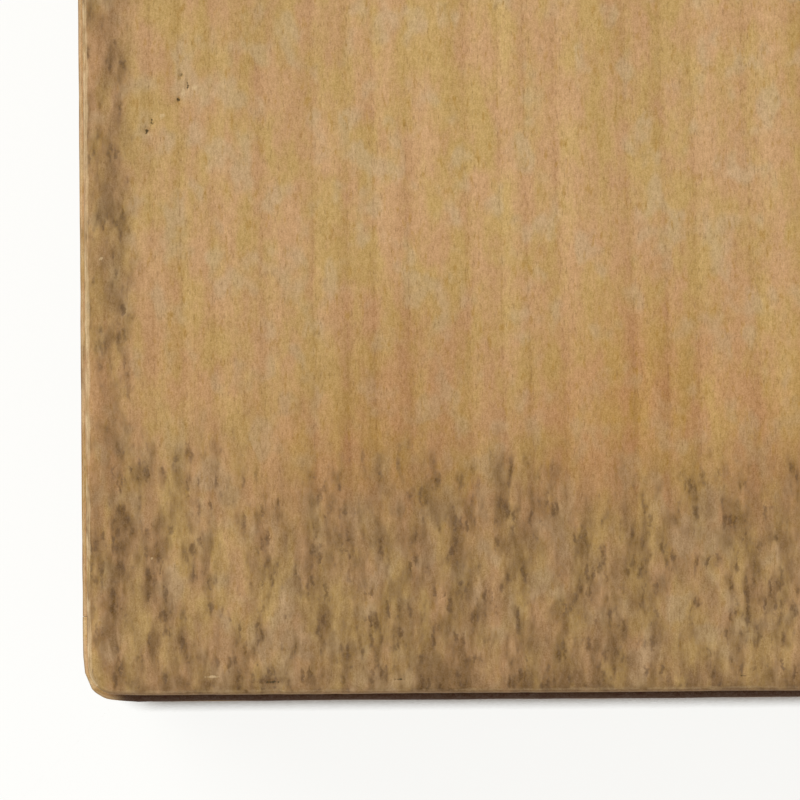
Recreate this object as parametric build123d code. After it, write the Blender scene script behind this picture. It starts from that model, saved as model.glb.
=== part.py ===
from build123d import *
import os

# A square paulownia storage box for a round sweets bowl, in millimetres.
# Finger-jointed walls stand on a bottom board with two feet.
# A flat lid rests on the walls, and a mitred frame of battens below it drops into their mouth.
# +Z is up, and +X is to the right of someone who reads the lid from the front, which faces -Y.
# The origin is the middle of the footprint, on the surface that the feet stand on.

# The room inside
room_width = 232.0
room_depth = 232.0
wall_height = 112.0

# Boards
wall_thickness = 9.0
bottom_thickness = 8.0
lid_thickness = 8.5
lid_setback = 0.75
corner_radius = 3.0

# Arrises, eased so that they don't splinter
wall_arris = 0.7
mouth_arris = 0.5
bottom_arris = 0.7
lid_top_arris = 1.2
lid_under_arris = 0.6
foot_arris = 0.9

# Finger joints at the corners, counted from the bottom: the front and back walls own the odd ones
finger_count = 5

# Battens under the lid
batten_width = 11.0
batten_height = 8.0
batten_clearance = 0.8
batten_lead_in = 1.6

# Feet, each with a slit for a flat tying cord
foot_width = 18.0
foot_height = 8.0
foot_setback = 1.2
slit_length = 22.0
slit_height = 3.4

# Wooden pegs, whittled to a taper and driven a little below the face
peg_facets = 8
peg_head_radius = 1.3
peg_tip_radius = 0.95
peg_clearance = 0.03
peg_sink = 0.25

# How far the pegs bite into the piece behind, or how much of it they leave whole
wall_peg_bite = 12.0
bottom_peg_bite = 10.0
foot_peg_cover = 2.0
batten_peg_cover = 3.5

# How many pegs a side has, and how far the last ones stand from its ends
bottom_peg_count_front = 5
bottom_peg_count_side = 4
bottom_peg_margin = 30.0
foot_peg_count = 4
foot_peg_margin = 26.0
batten_peg_count = 3
batten_peg_margin = 38.0

# What follows from those
outer_width = room_width + 2 * wall_thickness
outer_depth = room_depth + 2 * wall_thickness
bottom_z = foot_height
wall_z = bottom_z + bottom_thickness
lid_z = wall_z + wall_height
finger_height = wall_height / finger_count
foot_length = outer_width - 2 * foot_setback
wall_peg_length = wall_thickness + wall_peg_bite
bottom_peg_length = bottom_thickness + bottom_peg_bite
foot_peg_length = foot_height + bottom_thickness - foot_peg_cover
batten_peg_length = batten_height + lid_thickness - batten_peg_cover

# Every side is made as the front is, and then turned about the middle of the box
quarter_turns = {"front": 0, "right": 90, "back": 180, "left": 270}
footed_sides = ("front", "back")

low = Align.MIN
middle = Align.CENTER
facing_out = Rot(90, 0, 0)
facing_down = Rot(180, 0, 0)


def runs_across(side):
    """Whether a side runs from left to right."""
    return side in ("front", "back")


def side_length(side):
    """The outer length of a side, corner to corner."""
    return outer_width if runs_across(side) else outer_depth


def outer_face(side):
    """Where the outer face of a side stands on Y, before it is turned."""
    return -(outer_depth if runs_across(side) else outer_width) / 2


def batten_face(side):
    """Where the outer face of a batten stands on Y, before it is turned."""
    return outer_face(side) + wall_thickness + batten_clearance


def batten_length(side):
    """The outer length of a batten, from mitre to mitre."""
    return side_length(side) - 2 * (wall_thickness + batten_clearance)


def turned(side, piece):
    """Turns a piece or a place from the front to its own side."""
    return Rot(0, 0, quarter_turns[side]) * piece


def spread(count, length, margin):
    """Even places along a length, the last ones a margin in from its ends."""
    reach = length / 2 - margin
    return [reach * (2 * place / (count - 1) - 1) for place in range(count)]


# Where the pegs are driven in, each place with its Z pointing out of the wood

def wall_peg_places(side):
    """One in the middle of each finger, into the end of the wall behind it."""
    first = 0 if runs_across(side) else 1
    reach = side_length(side) / 2 - wall_thickness / 2
    return [
        turned(side, Pos(x, outer_face(side), wall_z + (level + 0.5) * finger_height) * facing_out)
        for level in range(first, finger_count, 2)
        for x in (-reach, reach)
    ]


def bottom_peg_places(side):
    """Up through the bottom board, into the lower edge of a wall."""
    count = bottom_peg_count_front if runs_across(side) else bottom_peg_count_side
    y = outer_face(side) + wall_thickness / 2
    return [
        turned(side, Pos(x, y, bottom_z) * facing_down)
        for x in spread(count, side_length(side), bottom_peg_margin)
    ]


def foot_peg_places(side):
    """Up through a foot into the bottom board, halfway between the wall and the foot's inner edge."""
    inner_edge = outer_face(side) + foot_setback + foot_width
    y = (outer_face(side) + wall_thickness + inner_edge) / 2
    return [
        turned(side, Pos(x, y, 0) * facing_down)
        for x in spread(foot_peg_count, foot_length, foot_peg_margin)
    ]


def batten_peg_places(side):
    """Up through a batten into the lid."""
    y = batten_face(side) + batten_width / 2
    return [
        turned(side, Pos(x, y, lid_z - batten_height) * facing_down)
        for x in spread(batten_peg_count, batten_length(side), batten_peg_margin)
    ]


def tapered(length, sunk, extra):
    """A faceted taper whose tip is at the depth of length, and whose head is sunk below the face."""
    tip = Pos(0, 0, -length) * RegularPolygon(peg_tip_radius + extra, peg_facets)
    head = Pos(0, 0, -sunk) * RegularPolygon(peg_head_radius + extra, peg_facets)
    return loft([tip, head], ruled=True)


def pegs(places, length):
    return Compound([place * tapered(length, peg_sink, 0.0) for place in places])


def peg_holes(places, length):
    return [place * tapered(length, 0.0, peg_clearance) for place in places]


# Boards

def rounded_block(width, depth, height, z):
    """A block standing on the plane z, with the upright corners that all the boards share."""
    return Pos(0, 0, z) * extrude(RectangleRounded(width, depth, corner_radius), height)


def upper_rim(block):
    return block.faces().sort_by(Axis.Z)[-1].edges()


def lower_rim(block):
    return block.faces().sort_by(Axis.Z)[0].edges()


def wall_ring():
    """The four walls in one: rounded corners outside, square ones inside, and an eased mouth."""
    ring = chamfer(upper_rim(rounded_block(outer_width, outer_depth, wall_height, wall_z)), wall_arris)
    ring -= Pos(0, 0, wall_z) * Box(room_width, room_depth, wall_height, align=(middle, middle, low))
    ring -= Pos(0, 0, lid_z - mouth_arris) * extrude(
        Rectangle(room_width, room_depth), mouth_arris, taper=-45
    )
    return ring


def wall(side, ring):
    """One side of the ring, cut back at both ends where its neighbours' fingers come through."""
    length = side_length(side)
    place = Pos(0, outer_face(side), wall_z)
    board = place * Box(length, wall_thickness, wall_height, align=(middle, low, low))
    notch = Box(wall_thickness, wall_thickness, finger_height, align=(middle, low, low))
    first = 1 if runs_across(side) else 0
    reach = (length - wall_thickness) / 2
    for level in range(first, finger_count, 2):
        for x in (-reach, reach):
            board -= place * Pos(x, 0, level * finger_height) * notch
    return turned(side, board) & ring


def bottom_board():
    return chamfer(
        lower_rim(rounded_block(outer_width, outer_depth, bottom_thickness, bottom_z)), bottom_arris
    )


def foot(side):
    """A bar under the bottom board, slit along its top so that a cord can pass below the box."""
    face = outer_face(side) + foot_setback
    bar = Pos(0, face, 0) * Box(foot_length, foot_width, foot_height, align=(middle, low, low))
    slit = Pos(0, face, foot_height - slit_height) * Box(
        slit_length, foot_width, slit_height, align=(middle, low, low)
    )
    return turned(side, chamfer(lower_rim(bar), foot_arris) - slit)


def lid_board():
    """The flat lid, rounded over above and bevelled a little below."""
    block = rounded_block(outer_width - 2 * lid_setback, outer_depth - 2 * lid_setback, lid_thickness, lid_z)
    return fillet(upper_rim(chamfer(lower_rim(block), lid_under_arris)), lid_top_arris)


def batten(side):
    """A batten mitred at both ends, bevelled where it enters the mouth of the box."""
    half = batten_length(side) / 2
    outer = batten_face(side)
    inner = outer + batten_width
    plan = Polygon(
        (-half, outer),
        (half, outer),
        (half - batten_width, inner),
        (-half + batten_width, inner),
        align=None,
    )
    bar = Pos(0, 0, lid_z - batten_height) * extrude(plan, batten_height)
    leading_edge = lower_rim(bar).sort_by(Axis.Y)[0]
    return turned(side, chamfer(leading_edge, batten_lead_in))


# The pieces, each with the holes for the pegs that reach it

pieces = {}

all_wall_pegs = [place for side in quarter_turns for place in wall_peg_places(side)]
all_bottom_pegs = [place for side in quarter_turns for place in bottom_peg_places(side)]
all_foot_pegs = [place for side in footed_sides for place in foot_peg_places(side)]
all_batten_pegs = [place for side in quarter_turns for place in batten_peg_places(side)]

ring = wall_ring()
ring -= peg_holes(all_wall_pegs, wall_peg_length)
ring -= peg_holes(all_bottom_pegs, bottom_peg_length)
for side in quarter_turns:
    pieces[side + "_wall"] = wall(side, ring)
    pieces[side + "_wall_pegs"] = pegs(wall_peg_places(side), wall_peg_length)

pieces["bottom_board"] = bottom_board()
pieces["bottom_board"] -= peg_holes(all_bottom_pegs, bottom_peg_length)
pieces["bottom_board"] -= peg_holes(all_foot_pegs, foot_peg_length)
pieces["bottom_pegs"] = pegs(all_bottom_pegs, bottom_peg_length)

for side in footed_sides:
    pieces[side + "_foot"] = foot(side) - peg_holes(foot_peg_places(side), foot_peg_length)
    pieces[side + "_foot_pegs"] = pegs(foot_peg_places(side), foot_peg_length)

pieces["lid_board"] = lid_board() - peg_holes(all_batten_pegs, batten_peg_length)
for side in quarter_turns:
    pieces["lid_batten_" + side] = batten(side) - peg_holes(batten_peg_places(side), batten_peg_length)
pieces["lid_batten_pegs"] = pegs(all_batten_pegs, batten_peg_length)

os.makedirs("parts", exist_ok=True)
for name, piece in pieces.items():
    export_step(piece, "parts/" + name + ".step")
    print(name, len(piece.solids()), "solids", round(piece.volume), "mm3")
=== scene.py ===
import math
import bpy
import numpy as np
from mathutils import Matrix, Vector


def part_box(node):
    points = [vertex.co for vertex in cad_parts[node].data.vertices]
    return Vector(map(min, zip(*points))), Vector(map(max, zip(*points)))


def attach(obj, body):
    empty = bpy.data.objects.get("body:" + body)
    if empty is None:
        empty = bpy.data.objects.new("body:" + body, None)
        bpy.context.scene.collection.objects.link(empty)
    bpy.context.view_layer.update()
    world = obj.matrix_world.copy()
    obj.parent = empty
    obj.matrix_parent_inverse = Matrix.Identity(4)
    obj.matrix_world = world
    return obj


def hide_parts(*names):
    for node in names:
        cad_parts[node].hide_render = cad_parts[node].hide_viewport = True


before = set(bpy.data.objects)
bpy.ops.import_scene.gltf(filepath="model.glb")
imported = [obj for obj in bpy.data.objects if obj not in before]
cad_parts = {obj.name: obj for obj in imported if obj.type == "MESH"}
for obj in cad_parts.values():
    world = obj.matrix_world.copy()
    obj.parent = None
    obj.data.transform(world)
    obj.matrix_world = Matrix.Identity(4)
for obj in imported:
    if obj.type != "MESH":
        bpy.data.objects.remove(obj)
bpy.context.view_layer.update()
print("frame loaded:", len(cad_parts), "nodes")

mm = 0.001

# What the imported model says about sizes
wallLow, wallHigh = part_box("front_wall")
baseLow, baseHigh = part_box("bottom_board")
lidLow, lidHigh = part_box("lid_board")
footLow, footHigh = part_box("front_foot")
battenLow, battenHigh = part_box("lid_batten_front")
outerHalf = wallHigh.x
wallThick = wallHigh.y - wallLow.y

quarterTurns = {"front": 0, "right": 1, "back": 2, "left": 3}


# Mesh helpers

def gridLines(stops, step):
    # lines through every stop, and between the stops at about one step
    ordered = sorted(set(round(stop, 7) for stop in stops))
    lines = []
    for low, high in zip(ordered, ordered[1:]):
        size = step((low + high) / 2) if callable(step) else step
        count = max(1, round((high - low) / size))
        lines += [low + (high - low) * n / count for n in range(count)]
    return np.array(lines + [ordered[-1]])


def gridOf(stops, steps):
    return [gridLines(some, step) for some, step in zip(stops, steps)]


def inset(edge, depths):
    # stops that stand in from an edge, which may be the low or the high one
    side = 1 if edge < 0 else -1
    return [edge + side * depth for depth in depths]


def cellMiddles(lines):
    return (lines[1:] + lines[:-1]) / 2


def allCells(lines):
    return np.ones([len(axis) - 1 for axis in lines], bool)


def cellSkin(lines, keep):
    # the closed skin round the kept cells of an uneven grid
    counts = [len(axis) for axis in lines]
    padded = np.pad(keep, 1)
    quads = []
    for a in range(3):
        b, c = (a + 1) % 3, (a + 2) % 3
        solid = np.transpose(padded, (a, b, c))[:, 1:-1, 1:-1]
        lower, upper = solid[:-1], solid[1:]
        for outward in (True, False):
            i, j, k = np.nonzero(lower & ~upper if outward else upper & ~lower)
            ring = [(j, k), (j + 1, k), (j + 1, k + 1), (j, k + 1)]
            corners = []
            for second, third in ring if outward else ring[::-1]:
                index = [None] * 3
                index[a], index[b], index[c] = i, second, third
                corners.append((index[0] * counts[1] + index[1]) * counts[2] + index[2])
            quads.append(np.stack(corners, axis=1))
    quads = np.concatenate(quads)
    used, renamed = np.unique(quads, return_inverse=True)
    places = np.unravel_index(used, counts)
    points = np.stack([lines[axis][places[axis]] for axis in range(3)], axis=1)
    return points, renamed.reshape(quads.shape)


def unevenness(points, size, seed):
    # smooth random heights from -1 to 1, about one bump to a size in millimetres
    spots = points / (mm * np.array(size)) + seed * 7.31
    cell = np.floor(spots)
    part = spots - cell
    part = part * part * (3 - 2 * part)
    total = np.zeros(len(points))
    for corner in range(8):
        step = np.array([corner & 1, corner >> 1 & 1, corner >> 2])
        weight = np.prod(np.where(step, part, 1 - part), axis=1)
        mixed = np.sin((cell + step) @ np.array([127.1, 311.7, 74.7]) + seed) * 43758.5453
        total += weight * (2 * (mixed - np.floor(mixed)) - 1)
    return total


def smoothStep(value, low, high):
    part = np.clip((value - low) / (high - low), 0, 1)
    return part * part * (3 - 2 * part)


def fadeOut(value, low, high):
    return 1 - smoothStep(value, low, high)


def pointNormals(points, quads):
    across = points[quads[:, 2]] - points[quads[:, 0]]
    along = points[quads[:, 3]] - points[quads[:, 1]]
    faces = np.cross(across, along)
    total = np.zeros_like(points)
    for corner in range(4):
        np.add.at(total, quads[:, corner], faces)
    return total / np.maximum(np.linalg.norm(total, axis=1, keepdims=True), 1e-12)


def edgeDistance(points, low, high):
    # how far a point on a block's skin lies from the block's nearest edge
    gaps = np.minimum(points - np.array(low), np.array(high) - points)
    return np.sort(gaps, axis=1)[:, 1]


def roundingPull(out, up):
    # how far a square corner is drawn in to make a quarter circle
    return np.maximum(out, up) / np.maximum(np.hypot(out, up), 1e-9)


def roundBlock(points, half, radius, top=None, topArris=0, under=None, underArris=0):
    # rounds the upright corners of a square board, and its upper and lower arrises
    done = points.copy()
    reach = np.abs(points[:, :2]) - (np.array(half) - radius)
    share = np.clip(reach / radius, 0, None)
    largest = share.max(axis=1)
    depth = radius * (1 - largest)
    height = points[:, 2].copy()
    for level, arris, side in ((top, topArris, 1), (under, underArris, -1)):
        if not arris:
            continue
        drop = side * (level - points[:, 2])
        near = (depth < arris) & (drop < arris)
        out, up = 1 - depth[near] / arris, 1 - drop[near] / arris
        pull = roundingPull(out, up)
        depth[near] = arris * (1 - out * pull)
        height[near] = level - side * arris * (1 - up * pull)
    length = np.maximum(np.hypot(share[:, 0], share[:, 1]), 1e-9)
    scale = (1 - depth / radius) / length
    for axis in range(2):
        moved = share[:, axis] > 0
        base = half[axis] - radius + radius * share[:, axis] * scale
        done[moved, axis] = (np.sign(points[:, axis]) * base)[moved]
    done[:, 2] = height
    return done


def easeMouth(points, inner, top, arris):
    # rounds the upper inner arris of the walls
    gap = np.abs(points[:, :2]) - np.array(inner)
    out = gap.max(axis=1)
    drop = top - points[:, 2]
    near = (out < arris) & (drop < arris) & (out > -1e-6)
    inward, up = 1 - out / arris, 1 - drop / arris
    pull = roundingPull(inward, up)
    newOut = arris * (1 - inward * pull)
    for axis in range(2):
        moved = near & (gap[:, axis] >= out - 1e-7)
        points[moved, axis] += (np.sign(points[:, axis]) * (newOut - out))[moved]
    points[near, 2] = (top - arris * (1 - up * pull))[near]
    return points


# Bores for pegs: square cells that are drawn round

def boreStops(centre):
    return [centre + peg["boreRadius"] * share for share in (-1.9, -1, -0.5, 0, 0.5, 1, 1.9)]


def cutBores(keep, lines, axes, centres):
    for centre in centres:
        inBore = np.ones_like(keep)
        for place, axis in enumerate(axes):
            near = np.abs(cellMiddles(lines[axis]) - centre[place]) < peg["boreRadius"]
            inBore &= near.reshape([-1 if other == axis else 1 for other in range(3)])
        keep = keep & ~inBore
    return keep


def drawBoresRound(points, axes, centres):
    radius = peg["boreRadius"]
    for centre in centres:
        flat = points[:, list(axes)] - np.array(centre)
        ring = np.abs(flat).max(axis=1) / radius
        blend = np.clip((1.9 - ring) / 0.9, 0, 1)
        near = (blend > 0) & (ring > 0.05)
        length = np.maximum(np.hypot(flat[:, 0], flat[:, 1]), 1e-9)
        factor = 1 + blend * (ring * radius / length - 1)
        for place, axis in enumerate(axes):
            points[near, axis] = (centre[place] + flat[:, place] * factor)[near]
    return points


def wear(points, quads, edge, amount, seed):
    # softens and dents the arrises, and leaves the faces a little uneven
    normals = pointNormals(points, quads)
    near = fadeOut(edge, 0.2 * mm, 1.6 * mm)
    dents = smoothStep(unevenness(points, (2.2, 2.2, 2.2), seed), 0.25, 0.9)
    ripple = unevenness(points, (0.9, 0.9, 0.9), seed + 3)
    sway = unevenness(points, (14, 14, 9), seed + 5)
    depth = near * (amount * dents + 0.3 * amount * ripple) + 0.02 * mm * sway
    return points - normals * depth[:, None]


def addObject(name, data):
    holder = bpy.data.objects.new(name, data)
    bpy.context.scene.collection.objects.link(holder)
    return holder


def newPiece(name, points, faces, facts, material, sharp=38):
    mesh = bpy.data.meshes.new(name)
    mesh.from_pydata(points, [], faces)
    mesh.update()
    mesh.shade_smooth()
    mesh.set_sharp_from_angle(angle=math.radians(sharp))
    for fact, values in facts.items():
        layer = mesh.attributes.new(fact, "FLOAT", "POINT")
        layer.data.foreach_set("value", np.asarray(values, np.float32))
    mesh.materials.append(material)
    return addObject(name, mesh)


def woodFacts(edge, stain, rub=0.4, nick=0.0, seamDirtAndShade=0.0, amber=0.0, scuff=0.0):
    # what the wood's finish reads from each point: metres to the nearest edge, then shares
    shares = {"stain": stain, "rub": rub, "nick": nick, "seamDirtAndShade": seamDirtAndShade, "amber": amber, "scuff": scuff}
    return {"edge": edge, **{name: np.zeros(len(edge)) + share for name, share in shares.items()}}


def settle(piece, body, node):
    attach(piece, body)
    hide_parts(node)


def woodPiece(name, points, quads, facts, material, body, node):
    piece = newPiece(name, points.tolist(), quads.tolist(), facts, material)
    settle(piece, body, node)


def turnedPoints(points, side):
    for turn in range(quarterTurns[side]):
        points = np.stack([-points[:, 1], points[:, 0], points[:, 2]], axis=1)
    return points


# Node helpers

def newMaterial(name):
    material = bpy.data.materials.new(name)
    material.use_nodes = True
    return material, material.node_tree, material.node_tree.nodes["Principled BSDF"]


def paint(red, green, blue):
    # a screen colour, 0 to 255, as the shader wants it
    shares = [value / 255 for value in (red, green, blue)]
    return [s / 12.92 if s <= 0.04045 else ((s + 0.055) / 1.055) ** 2.4 for s in shares] + [1]


def addNode(tree, kind, inputs=None, **settings):
    node = tree.nodes.new(kind)
    for name, value in settings.items():
        setattr(node, name, value)
    for socket, value in (inputs or {}).items():
        if isinstance(value, bpy.types.NodeSocket):
            tree.links.new(value, node.inputs[socket])
        else:
            node.inputs[socket].default_value = value
    return node


def calc(tree, operation, *values):
    return addNode(tree, "ShaderNodeMath", dict(enumerate(values)), operation=operation).outputs[0]


def blendColour(tree, factor, first, second, mode="MIX"):
    node = addNode(
        tree, "ShaderNodeMix", {0: factor, 6: first, 7: second}, data_type="RGBA", blend_type=mode
    )
    return node.outputs[2]


def within(tree, value, low, high, outLow=0.0, outHigh=1.0):
    # a soft step between two levels of a value
    node = addNode(
        tree,
        "ShaderNodeMapRange",
        {"Value": value, "From Min": low, "From Max": high, "To Min": outLow, "To Max": outHigh},
        interpolation_type="SMOOTHSTEP",
    )
    return node.outputs[0]


def mixShader(tree, factor, first, second):
    return addNode(tree, "ShaderNodeMixShader", {0: factor, 1: first, 2: second}).outputs[0]


def attribute(tree, name):
    return addNode(tree, "ShaderNodeAttribute", attribute_name=name).outputs["Fac"]


def streaks(tree, coords, across, along, detail=2.0, shift=0.0, through=None):
    # noise drawn out along the grain, sizes in millimetres
    sized = addNode(
        tree,
        "ShaderNodeMapping",
        {
            "Vector": coords,
            "Scale": [1 / (size * mm) for size in (across, along, through or across)],
            "Location": (shift, shift * 1.7, shift * 0.6),
        },
    )
    noise = addNode(
        tree, "ShaderNodeTexNoise", {"Vector": sized.outputs[0], "Scale": 1.0, "Detail": detail}
    )
    return noise.outputs["Fac"]


def addStreaks(tree, coords, layers, shift, total):
    for number, (wide, long, share) in enumerate(layers):
        layer = calc(tree, "SUBTRACT", streaks(tree, coords, wide, long, 0.6, shift + number), 0.5)
        total = calc(tree, "MULTIPLY_ADD", layer, share, total)
    return total


def dashes(tree, coords, wide, long, density, shift):
    # short soft marks along the grain, one to a cell where the density lets it, sizes in millimetres
    wide, long = wide * mm, long * mm
    bend = addNode(tree, "ShaderNodeTexNoise", {"Vector": coords, "Scale": 1 / wide, "Detail": 2.0})
    pushed = {0: bend.outputs["Color"], 1: (wide * 1.6, wide * 3, wide), 2: coords}
    moved = addNode(tree, "ShaderNodeVectorMath", pushed, operation="MULTIPLY_ADD").outputs[0]
    sized = addNode(
        tree,
        "ShaderNodeMapping",
        {"Vector": moved, "Scale": (1 / wide, 1 / long, 1 / wide), "Location": (shift, shift * 1.3, 0)},
    )
    cells = addNode(tree, "ShaderNodeTexVoronoi", {"Vector": sized.outputs[0], "Scale": 1.0})
    chance = addNode(tree, "ShaderNodeSeparateColor", {0: cells.outputs["Color"]}).outputs[0]
    shown = within(tree, calc(tree, "ADD", chance, density), 0.9, 1.3)
    body = within(tree, cells.outputs["Distance"], 0.15, 0.7, 1.0, 0.0)
    return calc(tree, "MULTIPLY", shown, body)


# Paulownia: straight grain, soft rings, open pores, and the stains of a long time in a storeroom

wood = {
    "light": (210, 173, 120),
    "dark": (172, 133, 84),
    "rosy": (200, 150, 114),
    "olive": (190, 160, 84),
    "ashen": (194, 168, 130),
    "amber": (236, 222, 202),  # multiplied in
    "ringLine": (150, 108, 64),
    "pore": (128, 93, 54),
    "fleck": (170, 128, 54),
    "smoke": (130, 99, 63),
    "blotch": (112, 83, 45),
    "core": (84, 59, 33),
    "endGrain": (140, 108, 72),
    "worn": (218, 189, 144),
    "hollow": (62, 50, 22),
    # seam dirt and painted shade below the lid's edge
    "seamDirtAndShade": (66, 41, 25),
    "ringWidth": 4.2 * mm,
    "warp": 3.5 * mm,
    "tilt": 0.012,
    "roughness": 0.72,
    # how light the wood is at each share of a ring's width
    "ringTones": [(0.0, 0.05), (0.04, 0.0), (0.17, 0.85), (0.3, 1.0), (0.7, 0.55), (1.0, 0.05)],
    # width and length in millimetres, and share, of each layer of light and dark
    "bands": [(10, 70, 0.6), (3.2, 45, 0.7), (1.6, 10, 0.6), (0.8, 2.8, 0.3)],
    "fibres": [(0.4, 1.1, 0.2), (0.2, 0.4, 0.24), (0.12, 0.14, 0.36)],
    # how far each colour covers what lies below it
    "mottleShare": 0.4,
    "ashenShare": 0.5,
    "ringLineShare": 0.14,
    "poreShare": 0.3,
    "fleckShare": 0.55,
    "blotchShare": 0.62,
    "coreShare": 0.6,
    "endGrainShare": 0.55,
    "splinterShare": 0.5,
    "hollowShare": 0.9,
    "fibreShare": 0.16,
}


def lay(tree, under, mask, share, tint):
    # one colour over another, as far as a mask lets it
    return blendColour(tree, calc(tree, "MULTIPLY", mask, share), under, paint(*tint))


def paulownia(name, across, along, through, seed, stains):
    material, tree, shader = newMaterial(name)
    place = addNode(tree, "ShaderNodeTexCoord")
    parts = addNode(tree, "ShaderNodeSeparateXYZ", {0: place.outputs["Object"]})
    normal = addNode(tree, "ShaderNodeSeparateXYZ", {0: place.outputs["Normal"]})
    u, g, w = (parts.outputs[axis] for axis in (across, along, through))
    shifted = calc(tree, "ADD", g, seed * 0.37)
    aside = calc(tree, "ADD", u, seed * 0.11)
    base = addNode(tree, "ShaderNodeCombineXYZ", {0: aside, 1: shifted, 2: w}).outputs[0]

    # rings, which wander a little and lean across the board
    sway = streaks(tree, base, 26, 90, 1.0, seed)
    sway = calc(tree, "MULTIPLY", calc(tree, "SUBTRACT", sway, 0.5), wood["warp"])
    lean = calc(tree, "MULTIPLY_ADD", g, wood["tilt"], calc(tree, "MULTIPLY", w, 0.35))
    ringAt = calc(tree, "ADD", calc(tree, "ADD", u, sway), lean)
    crowd = streaks(tree, base, 11, 900, 0.0, seed + 4, 60)
    crowd = calc(tree, "MULTIPLY", crowd, 2.2)
    phase = calc(tree, "FRACT", calc(tree, "MULTIPLY_ADD", ringAt, 1 / wood["ringWidth"], crowd))
    tone = addNode(tree, "ShaderNodeValToRGB", {0: phase})
    ramp = tone.color_ramp
    for share, level in wood["ringTones"][1:-1]:
        ramp.elements.new(share)
    for stop, (share, level) in zip(ramp.elements, wood["ringTones"]):
        stop.color = (level, level, level, 1)
    ringTone = tone.outputs[0]

    # light and dark, from broad soft bands down to the finest fibres
    amber = attribute(tree, "amber")
    ringShare = calc(tree, "MULTIPLY_ADD", amber, 0.5, 0.36)
    bright = calc(tree, "MULTIPLY_ADD", calc(tree, "SUBTRACT", ringTone, 0.6), ringShare, 0.52)
    bright = addStreaks(tree, base, wood["bands"], seed + 20, bright)
    fibre = addStreaks(tree, base, wood["fibres"], seed + 30, 0.0)
    colour = blendColour(tree, bright, paint(*wood["dark"]), paint(*wood["light"]))

    # soft patches of pink, olive and ash
    mottle = within(tree, streaks(tree, base, 2.3, 5.4, 3.0, seed + 6), 0.34, 0.66)
    tint = blendColour(tree, mottle, paint(*wood["rosy"]), paint(*wood["olive"]))
    colour = blendColour(tree, wood["mottleShare"], colour, tint)
    ash = within(tree, streaks(tree, base, 2.4, 3.6, 1.5, seed + 15), 0.5, 0.68)
    colour = lay(tree, colour, ash, wood["ashenShare"], wood["ashen"])
    colour = blendColour(tree, amber, colour, paint(*wood["amber"]), "MULTIPLY")

    # the dark line where a ring begins, broken along the grain
    broken = within(tree, streaks(tree, base, 0.5, 7, 1.0, seed + 7), 0.42, 0.62)
    line = calc(tree, "MULTIPLY", within(tree, phase, 0.0, 0.11, 1.0, 0.0), broken)
    colour = lay(tree, colour, line, wood["ringLineShare"], wood["ringLine"])

    # pores, closest together early in a ring, and the odd golden fleck
    poreNoise = streaks(tree, base, 0.2, 0.9, 1.0, seed + 8)
    early = calc(tree, "ADD", poreNoise, within(tree, phase, 0.1, 0.6, 0.05, 0.0))
    pore = calc(tree, "MULTIPLY", within(tree, early, 0.6, 0.78), wood["poreShare"])
    colour = blendColour(tree, pore, colour, paint(*wood["pore"]))
    fleckNoise = streaks(tree, base, 0.55, 1.6, 2.5, seed + 9)
    fleck = within(tree, fleckNoise, 0.56, 0.76)
    colour = lay(tree, colour, fleck, wood["fleckShare"], wood["fleck"])

    # stains: thin smoke over whole patches, and dark blotches drawn out along the grain
    dirt = attribute(tree, "stain")
    cloud = streaks(tree, base, 1.4, 3.6, 3.0, seed + 10)
    smoke = calc(tree, "MULTIPLY", calc(tree, "MULTIPLY_ADD", cloud, 1.5, -0.15), dirt)
    colour = blendColour(tree, smoke, colour, paint(*wood["smoke"]))
    clump = streaks(tree, base, 0.9, 2.4, 3.0, seed + 11)
    cluster = calc(tree, "SUBTRACT", streaks(tree, base, 2.0, 7, 2.0, seed + 16), 0.5)
    clump = calc(tree, "MULTIPLY_ADD", cluster, 0.9, clump)
    clump = calc(tree, "MULTIPLY_ADD", fibre, 0.6, calc(tree, "MULTIPLY_ADD", dirt, 0.3 * stains, clump))
    density = calc(tree, "MULTIPLY_ADD", clump, 1.8, -0.85)
    small = dashes(tree, base, 0.6, 1.7, density, seed + 14)
    gate = within(tree, dirt, 0.15, 0.7)
    blotch = calc(tree, "MULTIPLY", within(tree, clump, 0.57, 0.93), gate)
    colour = lay(tree, colour, blotch, wood["blotchShare"], wood["blotch"])
    core = calc(tree, "MULTIPLY", small, gate)
    colour = lay(tree, colour, core, wood["coreShare"], wood["core"])

    # end grain drinks in more dirt
    ends = within(tree, calc(tree, "ABSOLUTE", normal.outputs[along]), 0.6, 0.95)
    colour = lay(tree, colour, ends, wood["endGrainShare"], wood["endGrain"])

    # arrises rubbed pale, unevenly
    edge = attribute(tree, "edge")
    rub = streaks(tree, base, 1.1, 2.4, 2.0, seed + 12)
    worn = within(tree, calc(tree, "MULTIPLY_ADD", rub, 1.2 * mm, edge), 0.6 * mm, 1.0 * mm, 1.0, 0.0)
    worn = calc(tree, "MULTIPLY", worn, attribute(tree, "rub"))
    colour = blendColour(tree, worn, colour, paint(*wood["worn"]))

    # nicks, each torn into a dark hollow and pale splinters
    nick = attribute(tree, "nick")
    torn = streaks(tree, base, 0.3, 0.45, 2.0, seed + 18)
    whole = calc(tree, "ADD", calc(tree, "SUBTRACT", 1.0, torn), attribute(tree, "scuff"))
    splinter = within(tree, whole, 1.0, 1.3)
    colour = lay(tree, colour, splinter, wood["splinterShare"], wood["worn"])
    hollow = within(tree, calc(tree, "MULTIPLY_ADD", nick, 0.6, torn), 0.88, 1.14)
    colour = lay(tree, colour, hollow, wood["hollowShare"], wood["hollow"])

    # black seam dirt and painted shade, in seams and below the lid's edge
    colour = blendColour(tree, attribute(tree, "seamDirtAndShade"), colour, paint(*wood["seamDirtAndShade"]))

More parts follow.
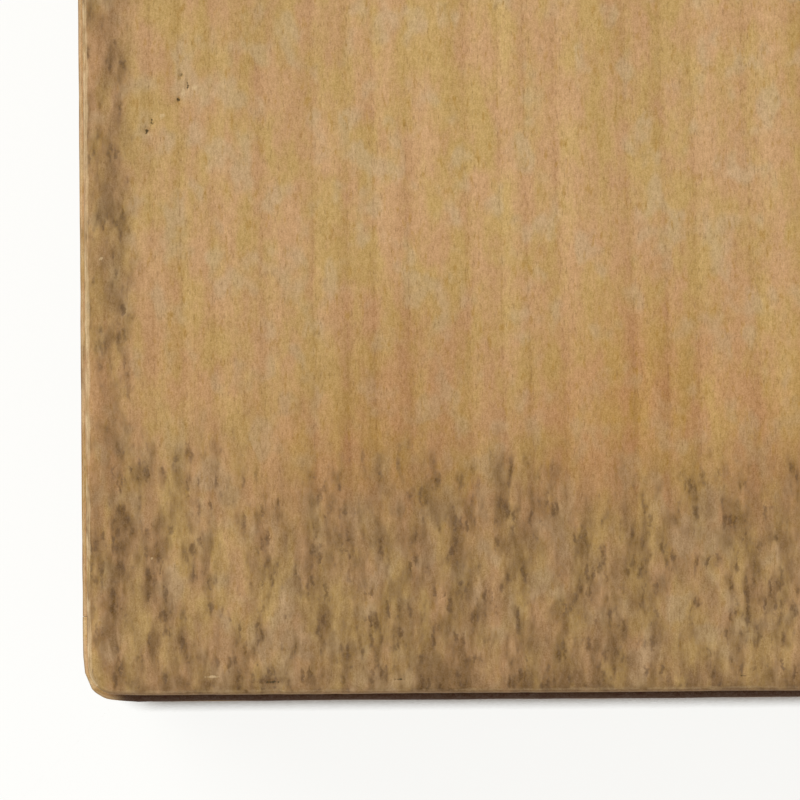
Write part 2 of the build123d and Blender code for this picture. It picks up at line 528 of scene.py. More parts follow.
    # the fibres' light and dark over it all, and their relief
    lighter = calc(tree, "ADD", fibre, 1.0)
    raised = calc(tree, "MULTIPLY", fibre, wood["fibreShare"])
    grained = addNode(
        tree, "ShaderNodeVectorMath", {0: colour, 1: lighter, 2: raised}, operation="MULTIPLY_ADD"
    )
    tree.links.new(grained.outputs[0], shader.inputs["Base Color"])
    rough = calc(tree, "MULTIPLY_ADD", fibre, wood["fibreShare"], wood["roughness"])
    tree.links.new(rough, shader.inputs["Roughness"])
    shader.inputs["Specular IOR Level"].default_value = 0.28
    relief = calc(tree, "MULTIPLY_ADD", ringTone, 0.5, fibre)
    relief = calc(tree, "MULTIPLY_ADD", bright, 0.6, relief)
    relief = calc(tree, "MULTIPLY_ADD", pore, -1.6, relief)
    bump = addNode(tree, "ShaderNodeBump", {"Strength": 0.55, "Distance": 0.06 * mm, "Height": relief})
    tree.links.new(bump.outputs[0], shader.inputs["Normal"])
    return material


pegFinish = {
    "dark": (112, 82, 50),
    "light": (168, 132, 86),
    "rim": (70, 48, 30),
    "rimShare": 0.6,
    "alongGrain": 270,  # noise cells to a metre
    "acrossGrain": 5400,
    "roughness": 0.66,
}


def pegWood(name, grainAxis):
    material, tree, shader = newMaterial(name)
    place = addNode(tree, "ShaderNodeTexCoord")
    scale = [pegFinish["alongGrain" if axis == grainAxis else "acrossGrain"] for axis in "XYZ"]
    sized = addNode(tree, "ShaderNodeMapping", {"Vector": place.outputs["Object"], "Scale": scale})
    noise = addNode(tree, "ShaderNodeTexNoise", {"Vector": sized.outputs[0], "Scale": 1.0, "Detail": 2.0})
    grain = noise.outputs["Fac"]
    shade = within(tree, grain, 0.3, 0.7)
    colour = blendColour(tree, shade, paint(*pegFinish["dark"]), paint(*pegFinish["light"]))
    rim = within(tree, attribute(tree, "rim"), 0.55, 1.0)
    colour = lay(tree, colour, rim, pegFinish["rimShare"], pegFinish["rim"])
    tree.links.new(colour, shader.inputs["Base Color"])
    shader.inputs["Roughness"].default_value = pegFinish["roughness"]
    shader.inputs["Specular IOR Level"].default_value = 0.3
    bump = addNode(tree, "ShaderNodeBump", {"Strength": 0.5, "Distance": 0.05 * mm, "Height": grain})
    tree.links.new(bump.outputs[0], shader.inputs["Normal"])
    return material


# Pegs: whittled tapers with a slightly domed, uneven head

peg = {
    "headRadius": 1.27 * mm,
    "tipRadius": 0.9 * mm,
    "sunk": 0.22 * mm,
    "dome": 0.12 * mm,
    "boreRadius": 1.34 * mm,
    "shoulder": 0.8 * mm,  # how far below its head a peg starts to taper
    "sides": 20,
    # the head's rings: share of its radius, depth in domes, and how dark the rim is
    "headRings": [(0.45, -0.35, 0.4), (0.85, 0.25, 0.85), (1.0, 1.0, 1.0)],
}


def pegMesh(heads, outward, length, seed):
    # one mesh for a row of pegs, each from the middle of its bore's mouth inwards
    random = np.random.default_rng(seed)
    outward = np.array(outward, float)
    first = np.array([outward[1], outward[2], outward[0]])
    second = np.cross(outward, first)
    sides, radius = peg["sides"], peg["headRadius"]
    profile = [(share * radius, drop * peg["dome"], rim) for share, drop, rim in peg["headRings"]]
    profile += [(radius * 0.99, peg["shoulder"], 0.6), (peg["tipRadius"], length, 0.3)]
    points, faces, rims = [], [], []
    for head in heads:
        turn = random.uniform(0, 6.28)
        wobble = random.normal(0, 0.025, sides)
        lift = random.uniform(-0.06, 0.06) * mm
        tiltA, tiltB = random.normal(0, 0.03, 2)
        start = len(points)
        middle = np.array(head, float) - outward * (peg["sunk"] - lift)
        points.append(middle + outward * peg["dome"])
        rims.append(0.0)
        for radius, depth, rim in profile:
            for n in range(sides):
                angle = turn + 2 * math.pi * n / sides
                reach = radius * (1 + wobble[n])
                x, y = reach * math.cos(angle), reach * math.sin(angle)
                tilt = tiltA * x + tiltB * y if depth < peg["shoulder"] else 0
                points.append(middle + first * x + second * y - outward * (depth - tilt))
                rims.append(rim)
        faces += [(start, start + 1 + n, start + 1 + (n + 1) % sides) for n in range(sides)]
        for ring in range(len(profile) - 1):
            low = start + 1 + ring * sides
            for n in range(sides):
                m = (n + 1) % sides
                faces.append((low + n, low + sides + n, low + sides + m, low + m))
        last = start + 1 + (len(profile) - 1) * sides
        faces.append(tuple(last + n for n in range(sides))[::-1])
    return np.array(points), faces, rims


def pegPiece(name, groups, length, material, node, body, seed):
    # groups are pairs of mouths and the way the heads face
    points, faces, rims = [], [], []
    for number, (heads, outward) in enumerate(groups):
        some, more, edge = pegMesh(heads, outward, length, seed + number)
        faces += [tuple(corner + len(points) for corner in face) for face in more]
        points += some.tolist()
        rims += edge
    settle(newPiece(name, points, faces, {"rim": rims}, material, 50), body, node)


def spread(count, length, margin):
    reach = length / 2 - margin
    return [reach * (2 * n / (count - 1) - 1) for n in range(count)]


def arrisDepths(arris):
    # closest together at the outer edge
    return [share * arris for share in (0.0, 0.08, 0.2, 0.36, 0.55, 0.78, 1.0)]


def endStops(half, arris, radius):
    # at both ends of a board with rounded corners
    depths = arrisDepths(arris) + [radius * 0.62, radius * 0.8, radius]
    return inset(-half, depths) + inset(half, depths)


# The lid

lid = {
    "radius": 3.0 * mm,
    "topArris": 1.2 * mm,
    "underArris": 0.6 * mm,
    "fine": 0.72 * mm,  # the mesh's steps near the front left corner
    "coarse": 2.8 * mm,
    "fineReach": 76 * mm,
    "throughStep": 2 * mm,
    "frontStain": 23 * mm,  # how far stains reach in from the front edge
    "sideStain": 5.8 * mm,
    "wear": 0.16 * mm,
    "cornerLoss": 0.12 * mm,
    "cornerReach": 7 * mm,
    # places from the left and front edges, then half a width, half a length and a depth
    "nicks": mm * np.array([
        (6.7, 59.3, 0.6, 0.6, 0.3),
        (7.3, 60.2, 0.4, 0.8, 0.15),
        (10.4, 65.1, 0.4, 0.8, 0.25),
        (11.0, 64.0, 0.35, 0.9, 0.2),
        (10.1, 62.5, 0.4, 0.6, 0.25),
        (19.4, 1.3, 2.4, 0.3, 0.06),
        (33.0, 1.5, 1.4, 0.25, 0.05),
        (69.0, 1.6, 1.1, 0.25, 0.08),
    ]),
    # drops that have dried dark
    "drops": mm * np.array([
        (9.9, 1.5, 1.0, 0.7),
        (12.9, 1.2, 0.8, 0.6),
        (19.6, 1.4, 2.6, 0.6),
        (23.6, 1.5, 1.0, 0.8),
        (17.5, 4.3, 0.8, 1.6),
        (6.9, 5.0, 1.1, 3.0),
        (9.8, 6.2, 0.9, 1.6),
        (7.6, 17.0, 0.9, 5.0),
        (6.5, 12.4, 1.2, 5.5),
        (3.4, 12.0, 0.8, 3.0),
        (53.8, 4.3, 0.6, 1.4),
        (57.4, 3.1, 0.7, 1.3),
        (60.9, 3.0, 0.7, 1.2),
        (66.4, 4.7, 0.7, 1.7),
    ]),
    # and scuffs, where the surface is rubbed pale
    "scuffs": mm * np.array([
        (8.4, 60.8, 0.7, 0.6),
        (6.9, 58.9, 0.4, 0.3),
        (10.6, 63.3, 0.5, 1.0),
        (11.8, 63.8, 0.8, 0.7),
        (6.9, 14.4, 0.3, 0.35),
        (13.2, 1.9, 1.4, 0.3),
        (1.8, 45.9, 0.4, 0.4),
    ]),
}


def lidStep(place):
    return lid["fine"] if place < lidLow.x + lid["fineReach"] else lid["coarse"]


def spot(points, x, y, wide, long):
    # one at a place on the lid, and falling away to nothing around it
    across = (points[:, 0] - lidLow.x - x) / wide
    along = (points[:, 1] - lidLow.y - y) / long
    return fadeOut(np.hypot(across, along), 0.1, 1.0)


def lidStains(points):
    # the front edge has stood in the damp, and the left edge in the hand
    front = points[:, 1] - lidLow.y
    back = lidHigh.y - points[:, 1]
    left = points[:, 0] - lidLow.x
    right = lidHigh.x - points[:, 0]
    row = points * [1, 0, 0]

    # how far the damp has risen at each place along the front, less towards the right
    columns = unevenness(row, (1.6, 1000, 1000), 21) * 2.4 * mm
    hills = unevenness(row, (9, 1000, 1000), 22) * 1.8 * mm
    drying = 11 * mm + 6 * mm * unevenness(row, (26, 1000, 1000), 25)
    drying *= smoothStep(left, 85 * mm, 170 * mm)
    reach = lid["frontStain"] + columns + hills - drying

    # how dark it is, with a cleaner stretch near the corner and marks along the very edge
    level = 0.64 + 0.32 * smoothStep(left, 18 * mm, 32 * mm) - 0.1 * smoothStep(left, 50 * mm, 60 * mm)
    level += 0.22 * unevenness(points, (1.5, 9, 1000), 29)
    clean = smoothStep(left, 8.4 * mm, 10 * mm) * fadeOut(left, 15 * mm, 20 * mm)
    level -= 0.26 * clean * smoothStep(front, 6 * mm, 10 * mm)
    level *= fadeOut(front, reach - 6 * mm, reach + 8 * mm)
    marks = 0.5 + 0.7 * unevenness(points, (4, 6, 1000), 28)
    marks *= smoothStep(left, 3 * mm, 7 * mm)
    level += 0.6 * fadeOut(front, 1.2 * mm, 4.4 * mm) * marks

    # strips along the sides and the back, and a thinner stain round the corner
    patches = 0.6 + 0.5 * unevenness(points, (2.4, 8, 1000), 23)
    side = np.minimum(left, right)
    strip = fadeOut(side, 3.2 * mm, lid["sideStain"]) * patches
    strip *= 0.4 + 0.6 * smoothStep(side, 1.2 * mm, 3 * mm)
    lower = 0.42 * fadeOut(left, 13 * mm, 26 * mm) * fadeOut(front, 23 * mm, 32 * mm)
    far = fadeOut(back, 1 * mm, 12 * mm) * patches
    level = np.maximum.reduce([level, strip, lower, far * 0.8])

    # thin haze at the left and just above the damp, and the drops
    level += 0.2 * fadeOut(left, 3 * mm, 10 * mm) * smoothStep(front, 3 * mm, 12 * mm)
    level += 0.16 * fadeOut(left, 6 * mm, 45 * mm)
    haze = smoothStep(front, 22 * mm, 30 * mm) * fadeOut(front, 32 * mm, 50 * mm)
    level += 0.15 * haze * smoothStep(left, 12 * mm, 20 * mm) * fadeOut(left, 42 * mm, 54 * mm)
    for x, y, wide, long in lid["drops"]:
        level += 0.5 * spot(points, x, y, wide, long)
    thin = 0.1 * unevenness(points, (12, 30, 1000), 24) + 0.02
    return np.where(points[:, 2] > (lidLow.z + lidHigh.z) / 2, np.clip(level + thin, 0, 1.5), 0.25)


def lidAmber(points):
    # a warm, patchy tide mark just above the damp
    front = points[:, 1] - lidLow.y
    tide = smoothStep(front, 12 * mm, 24 * mm) * fadeOut(front, 28 * mm, 52 * mm)
    spots = 0.5 + 0.5 * unevenness(points, (7, 16, 1000), 27)
    return 1.3 * tide * spots


def wornCorner(points, loss, reach):
    # the front left corner has been knocked and rubbed away
    left = points[:, 0] + outerHalf
    front = points[:, 1] + outerHalf
    points[:, 0] += loss * fadeOut(front, 0.2 * reach, reach) * fadeOut(left, 0, 0.7 * reach)
    points[:, 1] += loss * fadeOut(left, 0.2 * reach, reach) * fadeOut(front, 0, 0.7 * reach)
    return points


def makeLid():
    half = lidHigh.x
    radius = lid["radius"]
    xStops = endStops(half, lid["topArris"], radius)
    yStops = list(xStops)
    marked = [(nick[:4], (-1, -0.5, 0, 0.5, 1)) for nick in lid["nicks"]]
    marked += [(scuff, (-1, 0, 1)) for scuff in lid["scuffs"]]
    for (x, y, wide, long), shares in marked:
        xStops += [lidLow.x + x + wide * share for share in shares]
        yStops += [lidLow.y + y + long * share for share in shares]
    zStops = inset(lidHigh.z, arrisDepths(lid["topArris"]))
    zStops += [lidLow.z + depth for depth in arrisDepths(lid["underArris"])]
    lines = gridOf((xStops, yStops, zStops), (lidStep, lidStep, lid["throughStep"]))
    points, quads = cellSkin(lines, allCells(lines))
    flat = points.copy()
    edge = edgeDistance(flat, lidLow, lidHigh)
    points = roundBlock(
        points, (half, lidHigh.y), radius, lidHigh.z, lid["topArris"], lidLow.z, lid["underArris"]
    )
    points = wear(points, quads, edge, lid["wear"], 31)
    points = wornCorner(points, lid["cornerLoss"], lid["cornerReach"])
    onTop = flat[:, 2] > lidHigh.z - 1e-6
    dark, pale = np.zeros(len(points)), np.zeros(len(points))
    for x, y, wide, long, deep in lid["nicks"]:
        hollow = onTop * spot(flat, x, y, wide, long)
        points[:, 2] -= hollow * deep
        dark = np.maximum(dark, hollow)
    for x, y, wide, long in lid["scuffs"]:
        pale = np.maximum(pale, onTop * spot(flat, x, y, wide, long))
    front = flat[:, 1] - lidLow.y
    rub = 0.5 - 0.35 * fadeOut(front, 1 * mm, 3 * mm)

    # the left side is rubbed pale, where fingers lift the lid, and made paler still with painted light
    # that lifts the shade in the crease beside the wall's ledge
    drop = lidHigh.z - flat[:, 2]
    paleLeftSide = (flat[:, 0] < lidLow.x + 0.01 * mm) & (drop > 0.3 * mm)
    rub = np.where(paleLeftSide, 0.8, rub)
    edge = np.where(paleLeftSide, 0.3 * edge, edge)
    facts = woodFacts(edge, lidStains(flat), rub, nick=dark, amber=lidAmber(flat), scuff=pale)
    material = paulownia("lidPaulownia", 0, 1, 2, 1.0, 0.6)
    woodPiece("lid_top", points, quads, facts, material, "lid", "lid_board")
    print("lid made:", len(quads), "faces")


# The walls, all made as the front one and then turned

walls = {
    "radius": 3.0 * mm,
    "topArris": 0.7 * mm,
    "mouthArris": 0.5 * mm,
    "fingers": 5,
    "jointGap": 0.045 * mm,
    "steps": (2.6 * mm, 2 * mm, 2.6 * mm),  # of the mesh, along, through and up
    "pegLength": 21 * mm,
    "wear": 0.14 * mm,
    # the dark line below the lid's edge, part seam dirt and part painted shade, darkest on the sides that
    # get the least light
    "seamDirtAndShadeDepth": 0.9 * mm,
    "seamDirtAndShade": {"front": 0.97, "back": 0.6, "left": 0.0, "right": 0.35},
    "cornerLoss": 0.32 * mm,
    "cornerReach": 6 * mm,
}


def fingerHeights():
    height = (wallHigh.z - wallLow.z) / walls["fingers"]
    return [wallLow.z + height * n for n in range(walls["fingers"] + 1)]


def wallPegHeads(side):
    first = 0 if side in ("front", "back") else 1
    heights = fingerHeights()
    reach = outerHalf - wallThick / 2
    return [
        (x, -outerHalf, (heights[level] + heights[level + 1]) / 2)
        for level in range(first, walls["fingers"], 2)
        for x in (-reach, reach)
    ]


def makeWall(side, seed):
    acrossFront = side in ("front", "back")
    inner = outerHalf - wallThick
    gap = walls["jointGap"]
    heads = wallPegHeads(side)
    bores = [(x, z) for x, y, z in heads]
    xStops = endStops(outerHalf, walls["topArris"], walls["radius"])
    xStops += [inner - gap, gap - inner, inner, -inner]
    zStops = inset(wallHigh.z, arrisDepths(walls["topArris"]) + arrisDepths(walls["mouthArris"]))
    zStops += [wallLow.z]
    for height in fingerHeights()[1:-1]:
        zStops += [height - gap, height + gap]
    for x, z in bores:
        xStops += boreStops(x)
        zStops += boreStops(z)
    yStops = inset(-outerHalf, arrisDepths(walls["topArris"]) + [walls["radius"]])
    yStops += [-inner - depth for depth in arrisDepths(walls["mouthArris"])]
    lines = gridOf((xStops, yStops, zStops), walls["steps"])
    keep = allCells(lines)
    x, z = cellMiddles(lines[0]), cellMiddles(lines[2])
    heights = fingerHeights()
    for level in range(walls["fingers"]):
        if (level % 2 == 0) == acrossFront:
            continue  # its own finger
        between = (z > heights[level] - gap) & (z < heights[level + 1] + gap)
        ends = np.abs(x) > inner - gap
        keep &= ~(ends[:, None, None] & between[None, None, :])
    keep = cutBores(keep, lines, (0, 2), bores)
    points, quads = cellSkin(lines, keep)
    low = (-outerHalf, -outerHalf, wallLow.z)
    high = (outerHalf, outerHalf, wallHigh.z)
    edge = edgeDistance(points, low, high)
    fromFace = points[:, 1] + outerHalf
    fromTop = wallHigh.z - points[:, 2]
    flat = points.copy()
    points = drawBoresRound(points, (0, 2), bores)
    points = easeMouth(points, (inner, inner), wallHigh.z, walls["mouthArris"])
    points = roundBlock(points, (outerHalf, outerHalf), walls["radius"], wallHigh.z, walls["topArris"])
    worn = wear(points, quads, edge, walls["wear"], seed)
    inside = flat[:, 1] > -inner - 0.2 * mm  # the joint faces and the inside stay true
    fingerFace = (np.abs(flat[:, 0]) > inner - 1 * mm) & (edge > 1.5 * mm)
    points = np.where((inside | fingerFace)[:, None], points, worn)
    points = wornCorner(turnedPoints(points, side), walls["cornerLoss"], walls["cornerReach"])
    flat = turnedPoints(flat, side)

    ragged = unevenness(flat, (2.0, 2.0, 2.0), seed + 2)
    lower = flat[:, 2] - wallLow.z
    outer = fadeOut(fromFace, 0, 1 * mm)
    damp = outer * 0.62 * fadeOut(lower + 6 * mm * ragged, 2 * mm, 22 * mm)
    upper = outer * 0.5 * fadeOut(fromTop + 2 * mm * ragged, 1 * mm, 8 * mm)
    thin = 0.25 + 0.22 * unevenness(flat, (25, 25, 14), seed + 4)
    stain = np.maximum(np.maximum(damp, upper), thin * outer)
    # the dark line below the lid's edge, part seam dirt and part painted shade: darker on the sides that
    # get less light, and none near the left corner
    line = fadeOut(fromTop + 0.25 * mm * ragged, 0.45 * mm, walls["seamDirtAndShadeDepth"])
    seamDirtAndShade = walls["seamDirtAndShade"][side] * line * (fromFace < 3 * mm)
    seamDirtAndShade *= smoothStep(flat[:, 0] + outerHalf + 0.5 * mm * ragged, 2.9 * mm, 4.4 * mm)
    amber = outer * (0.5 + 0.45 * unevenness(flat, (40, 40, 22), seed + 6))
    facts = woodFacts(edge, stain, 0.45, seamDirtAndShade=seamDirtAndShade, amber=amber)
    across, along, through = (2, 0, 1) if acrossFront else (2, 1, 0)
    material = paulownia(side + "WallPaulownia", across, along, through, seed * 0.7, 0.45)
    woodPiece(side + "_board", points, quads, facts, material, "box", side + "_wall")

    mouths = turnedPoints(np.array(heads), side)
    outward = turnedPoints(np.array([[0.0, -1.0, 0.0]]), side)[0]
    axis = "Y" if acrossFront else "X"
    pegPiece(
        side + "_corner_pegs", [(mouths, outward)], walls["pegLength"], pegWoods[axis],
        side + "_wall_pegs", "box", seed + 50,
    )
    print(side, "wall made:", len(quads), "faces")


# The bottom board and its pegs

base = {
    "radius": 3.0 * mm,
    "arris": 0.7 * mm,
    "steps": (3.4 * mm, 3.4 * mm, 2.5 * mm),
    "pegLength": 18 * mm,
    "frontPegs": 5,
    "sidePegs": 4,
    "pegMargin": 30 * mm,
    "wear": 0.14 * mm,
}


def basePegHeads():
    middle = outerHalf - wallThick / 2
    heads = []
    for side in quarterTurns:
        count = base["frontPegs"] if side in ("front", "back") else base["sidePegs"]
        row = [(x, -middle, baseLow.z) for x in spread(count, 2 * outerHalf, base["pegMargin"])]
        heads += turnedPoints(np.array(row), side).tolist()
    return heads


def makeBase():
    half = baseHigh.x
    heads = basePegHeads()
    bores = [(x, y) for x, y, z in heads]
    xStops = endStops(half, base["arris"], base["radius"])
    yStops = list(xStops)
    for x in sorted(set(round(x, 6) for x, y in bores)):
        xStops += boreStops(x)
    for y in sorted(set(round(y, 6) for x, y in bores)):
        yStops += boreStops(y)
    zStops = [baseLow.z + depth for depth in arrisDepths(base["arris"])] + [baseHigh.z]
    lines = gridOf((xStops, yStops, zStops), base["steps"])
    keep = cutBores(allCells(lines), lines, (0, 1), bores)
    points, quads = cellSkin(lines, keep)
    edge = edgeDistance(points, baseLow, baseHigh)
    flat = points.copy()
    points = drawBoresRound(points, (0, 1), bores)
    points = roundBlock(points, (half, half), base["radius"], None, 0, baseLow.z, base["arris"])
    worn = wear(points, quads, edge, base["wear"], 41)
    true = flat[:, 2] > baseHigh.z - 0.3 * mm
    points = np.where(true[:, None], points, worn)
    rim = np.minimum(half - np.abs(flat[:, 0]), half - np.abs(flat[:, 1]))
    stain = 0.12 + 0.7 * fadeOut(rim, 0, 9 * mm)
    stain += 0.12 * unevenness(flat, (20, 30, 5), 42)
    inRoom = (flat[:, 2] > baseHigh.z - 1e-6) & (rim > wallThick)
    stain = np.where(inRoom, 0.12, stain)
    facts = woodFacts(edge, stain)
    material = paulownia("basePaulownia", 0, 1, 2, 5.3, 0.5)
    woodPiece("base_board", points, quads, facts, material, "box", "bottom_board")
    pegPiece(
        "base_pegs", [(heads, (0, 0, -1))], base["pegLength"], pegWoods["Z"],
        "bottom_pegs", "box", 61,
    )
    print("bottom made:", len(quads), "faces")


# The feet, slit so that a flat cord can pass below the box

feet = {
    "arris": 0.9 * mm,
    "radius": 0.9009 * mm,  # a hair more than the arris
    "slitLength": 22 * mm,
    "slitHeight": 3.4 * mm,
    "steps": (2 * mm, 2 * mm, 2 * mm),
    "pegs": 4,
    "pegMargin": 26 * mm,
    "pegLength": 14 * mm,
    "wear": 0.2 * mm,
}


def makeFoot(side, seed):
    half = (footHigh.x - footLow.x) / 2
    face, back = footLow.y, footHigh.y
    pegLine = (-outerHalf + wallThick + back) / 2
    heads = [(x, pegLine, footLow.z) for x in spread(feet["pegs"], 2 * half, feet["pegMargin"])]
    bores = [(x, y) for x, y, z in heads]
    arris = arrisDepths(feet["arris"])
    xStops = inset(-half, arris) + inset(half, arris) + [-feet["slitLength"] / 2, feet["slitLength"] / 2]
    for x, y in bores:
        xStops += boreStops(x)
    yStops = [face + depth for depth in arris] + [back - depth for depth in arris]
    yStops += boreStops(pegLine)
    zStops = [footLow.z + depth for depth in arris] + [footHigh.z - feet["slitHeight"], footHigh.z]
    lines = gridOf((xStops, yStops, zStops), feet["steps"])
    keep = allCells(lines)
    x, z = cellMiddles(lines[0]), cellMiddles(lines[2])
    inSlit = np.abs(x) < feet["slitLength"] / 2
    above = z > footHigh.z - feet["slitHeight"]
    keep &= ~(inSlit[:, None, None] & above[None, None, :])
    keep = cutBores(keep, lines, (0, 1), bores)
    points, quads = cellSkin(lines, keep)
    edge = edgeDistance(points, (-half, face, footLow.z), (half, back, footHigh.z))
    flat = points.copy()
    points = drawBoresRound(points, (0, 1), bores)
    middle = (face + back) / 2
    points[:, 1] -= middle
    deep = (back - face) / 2
    points = roundBlock(points, (half, deep), feet["radius"], None, 0, footLow.z, feet["arris"])
    points[:, 1] += middle
    worn = wear(points, quads, edge, feet["wear"], seed)
    true = flat[:, 2] > footHigh.z - 0.3 * mm
    points = np.where(true[:, None], points, worn)
    points[:, 2] = np.maximum(points[:, 2], footLow.z)
    points = turnedPoints(points, side)
    flat = turnedPoints(flat, side)
    stain = 0.5 + 0.3 * unevenness(flat, (9, 9, 5), seed + 1)
    facts = woodFacts(edge, stain)
    material = paulownia(side + "FootPaulownia", 1, 0, 2, seed * 0.9, 0.5)
    woodPiece(side + "_foot_bar", points, quads, facts, material, "box", side + "_foot")
    mouths = turnedPoints(np.array(heads), side)
    pegPiece(
        side + "_bar_pegs", [(mouths, (0, 0, -1))], feet["pegLength"], pegWoods["Z"],
        side + "_foot_pegs", "box", seed + 5,
    )
    print(side, "foot made:", len(quads), "faces")


# The battens under the lid, mitred into a frame

battens = {
    "leadIn": 1.6 * mm,
    "sharpStops": [0, 0.1 * mm, 0.25 * mm, 0.4 * mm],
    "steps": (2 * mm, 2 * mm, 2 * mm),
    "endZone": 25 * mm,
    "mitreGap": 0.02 * mm,
    "pegs": 3,
    "pegMargin": 38 * mm,
    "pegLength": 13 * mm,
}


def battenHeads():
    middle = (battenLow.y + battenHigh.y) / 2
    row = spread(battens["pegs"], 2 * battenHigh.x, battens["pegMargin"])
    return [(x, middle, battenLow.z) for x in row]


def makeBatten(side, seed):
    half = battenHigh.x
    outer, inner = battenLow.y, battenHigh.y
    wide = inner - outer
    heads = battenHeads()
    bores = [(x, y) for x, y, z in heads]
    lead, sharp = arrisDepths(battens["leadIn"]), battens["sharpStops"]
    xStops = [-half, half, -half + 1 * mm, half - 1 * mm]
    for x, y in bores:
        xStops += boreStops(x)
    yStops = [outer + depth for depth in lead] + [inner - depth for depth in sharp]
    yStops += boreStops(bores[0][1])
    zStops = [battenLow.z + depth for depth in lead + sharp] + [battenHigh.z]
    lines = gridOf((xStops, yStops, zStops), battens["steps"])
    keep = cutBores(allCells(lines), lines, (0, 1), bores)
    points, quads = cellSkin(lines, keep)
    flat = points.copy()
    gaps = np.stack([points[:, 1] - outer, inner - points[:, 1], points[:, 2] - battenLow.z])
    edge = np.sort(gaps, axis=0)[1]
    points = drawBoresRound(points, (0, 1), bores)

    # the lead-in on the lower outer edge, a flat bevel
    size = battens["leadIn"]
    out, up = 1 - (flat[:, 1] - outer) / size, 1 - (flat[:, 2] - battenLow.z) / size
    bevel = (out > 0) & (up > 0)
    pull = np.maximum(out, up) / np.maximum(out + up, 1e-9)
    points[bevel, 1] = (outer + size * (1 - out * pull))[bevel]
    points[bevel, 2] = (battenLow.z + size * (1 - up * pull))[bevel]

    # the mitres
    zone = battens["endZone"]
    past = np.abs(points[:, 0]) - (half - zone)
    share = np.clip((points[:, 1] - outer) / wide, 0, 1)
    moved = past > 0
    shrink = (zone - wide * share) / zone
    points[moved, 0] = (np.sign(points[:, 0]) * (half - zone + past * shrink))[moved]
    points[:, 0] *= 1 - battens["mitreGap"] / half
    points = turnedPoints(points, side)
    flat = turnedPoints(flat, side)
    stain = 0.12 + 0.12 * unevenness(flat, (12, 12, 5), seed + 1)
    facts = woodFacts(edge, stain, 0.2)
    across, along = (1, 0) if side in ("front", "back") else (0, 1)
    material = paulownia(side + "BattenPaulownia", across, along, 2, seed * 0.8, 0.3)
    woodPiece(side + "_batten", points, quads, facts, material, "lid", "lid_batten_" + side)


def makeBattens():
    for number, side in enumerate(quarterTurns):
        makeBatten(side, 71 + 3 * number)
    groups = [(turnedPoints(np.array(battenHeads()), side), (0, 0, -1)) for side in quarterTurns]
    pegPiece(
        "batten_pegs", groups, battens["pegLength"], pegWoods["Z"],
        "lid_batten_pegs", "lid", 91,
    )
    print("battens made")


pegWoods = {axis: pegWood("pegWood" + axis, axis) for axis in "XYZ"}
makeLid()
for number, side in enumerate(quarterTurns):
    makeWall(side, 11 + 4 * number)
makeBase()
makeFoot("front", 3)
makeFoot("back", 7)
makeBattens()


# Floor, light and camera

studio = {
    "floorSize": 6.0,
    "floorGlow": 0.875,
    "floorDrop": 0.2 * mm,
    "contactReach": 3.8 * mm,
    "contactPower": 17.0,  # how fast the shade by the box fades
    "shade": (0.12, 0.09, 0.065, 1),
    "belowReach": 22 * mm,  # over which the floor below the box turns dark
    "worldLight": 0.68,
    "worldSlant": 0.3,  # how much more of it comes from the left than from above
    "lampPlace": (-0.9, 0.8, 1.9),
    "lampSize": 1.1,
    "lampPower": 18.0,
    "cameraHeight": 3.2,  # above the lid
    "frameWidth": 84 * mm,
    "imageWidth": 800,  # pixels
    "lidEdgeLeft": 84.6,  # where the picture has the lid's left edge, halfway up
    "lidEdgeFront": 693.5,  # and its front edge, halfway across
    "roll": 0.43,  # degrees
    "lean": 1.6,  # degrees from upright, towards the right
}


def seenDirectly(tree):
    # one for what the camera sees, straight or mirrored, and nothing for light that bounces
    path = addNode(tree, "ShaderNodeLightPath")
    mirrored = calc(tree, "MAXIMUM", path.outputs["Is Glossy Ray"], path.outputs["Is Transmission Ray"])
    return calc(tree, "MAXIMUM", path.outputs["Is Camera Ray"], mirrored)


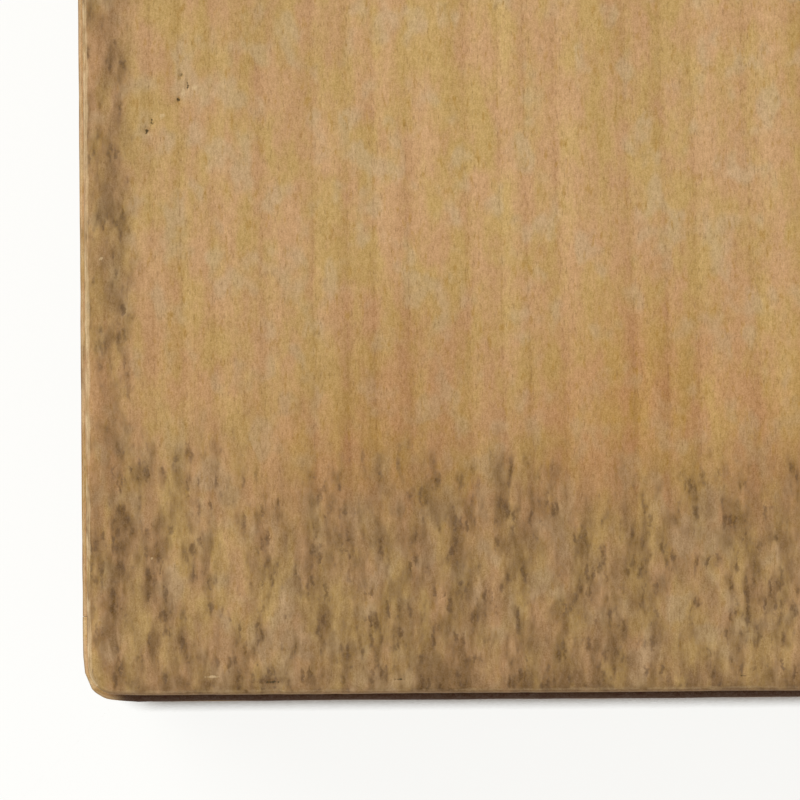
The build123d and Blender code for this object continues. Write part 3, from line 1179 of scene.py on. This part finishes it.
def makeFloor():
    half = studio["floorSize"] / 2
    mesh = bpy.data.meshes.new("floor")
    corners = [(-half, -half, 0), (half, -half, 0), (half, half, 0), (-half, half, 0)]
    mesh.from_pydata(corners, [], [(0, 1, 2, 3)])
    floor = addObject("floor", mesh)
    floor.location.z = -studio["floorDrop"]
    material, tree, shader = newMaterial("paleFloor")
    shader.inputs["Base Color"].default_value = (0.8, 0.8, 0.79, 1)
    shader.inputs["Roughness"].default_value = 0.9

    # a short shade round the foot of the box, and a deep one below it
    near = addNode(tree, "ShaderNodeAmbientOcclusion", {"Distance": studio["contactReach"]}, samples=8)
    shade = calc(tree, "POWER", near.outputs["AO"], studio["contactPower"])
    surface = addNode(tree, "ShaderNodeNewGeometry")
    place = addNode(tree, "ShaderNodeSeparateXYZ", {0: surface.outputs["Position"]})
    aside, ahead = (calc(tree, "ABSOLUTE", place.outputs[axis]) for axis in range(2))
    fromMiddle = calc(tree, "MAXIMUM", aside, ahead)
    below = within(tree, fromMiddle, outerHalf - studio["belowReach"], outerHalf + 1 * mm, 0.02, 1.0)
    shade = calc(tree, "MULTIPLY", shade, below)
    tint = blendColour(tree, shade, studio["shade"], (1, 1, 0.98, 1))
    glow = addNode(tree, "ShaderNodeEmission", {"Color": tint, "Strength": studio["floorGlow"]})
    lit = addNode(tree, "ShaderNodeBsdfDiffuse", {"Color": (0.13, 0.13, 0.128, 1)})
    both = addNode(tree, "ShaderNodeAddShader", {0: glow.outputs[0], 1: lit.outputs[0]})
    mixed = mixShader(tree, seenDirectly(tree), shader.outputs[0], both.outputs[0])
    clear = addNode(tree, "ShaderNodeBsdfTransparent")  # so that the box can be seen from below
    sided = mixShader(tree, surface.outputs["Backfacing"], mixed, clear.outputs[0])
    tree.links.new(sided, tree.nodes["Material Output"].inputs["Surface"])
    mesh.materials.append(material)


def makeWorld():
    world = bpy.data.worlds.new("studio")
    bpy.context.scene.world = world
    world.use_nodes = True
    tree = world.node_tree
    sky = addNode(tree, "ShaderNodeTexCoord")
    way = addNode(tree, "ShaderNodeSeparateXYZ", {0: sky.outputs["Generated"]})
    around = calc(tree, "MULTIPLY_ADD", way.outputs[0], -studio["worldSlant"], 1.0)
    around = calc(tree, "MULTIPLY", around, studio["worldLight"])
    light = calc(tree, "MAXIMUM", seenDirectly(tree), around)
    background = tree.nodes["Background"]
    background.inputs["Color"].default_value = (1, 0.995, 0.98, 1)
    tree.links.new(light, background.inputs["Strength"])


def makeLamp():
    lamp = bpy.data.lights.new("softbox", "AREA")
    lamp.shape = "SQUARE"
    lamp.size = studio["lampSize"]
    lamp.energy = studio["lampPower"]
    lamp.color = (1, 0.985, 0.96)
    holder = addObject("softbox", lamp)
    holder.location = studio["lampPlace"]
    aim = Vector((0, 0, lidHigh.z)) - holder.location
    holder.rotation_euler = aim.to_track_quat("-Z", "Y").to_euler()


def makeCamera():
    perPixel = studio["frameWidth"] / studio["imageWidth"]
    middle = studio["imageWidth"] / 2
    camera = bpy.data.cameras.new("camera")
    camera.sensor_width = 36
    camera.lens = camera.sensor_width * studio["cameraHeight"] / studio["frameWidth"]
    camera.clip_end = 50
    holder = addObject("camera", camera)
    target = Vector((
        lidLow.x + (middle - studio["lidEdgeLeft"]) * perPixel,
        lidLow.y + (studio["lidEdgeFront"] - middle) * perPixel,
        lidHigh.z,
    ))
    lean = Matrix.Rotation(math.radians(studio["lean"]), 4, "Y")
    roll = Matrix.Rotation(-math.radians(studio["roll"]), 4, "Z")
    away = Matrix.Translation((0, 0, studio["cameraHeight"]))
    holder.matrix_world = Matrix.Translation(target) @ (lean @ roll) @ away
    bpy.context.scene.camera = holder


makeFloor()
makeWorld()
makeLamp()
makeCamera()
bpy.context.scene.view_settings.view_transform = "Standard"
print("studio made")
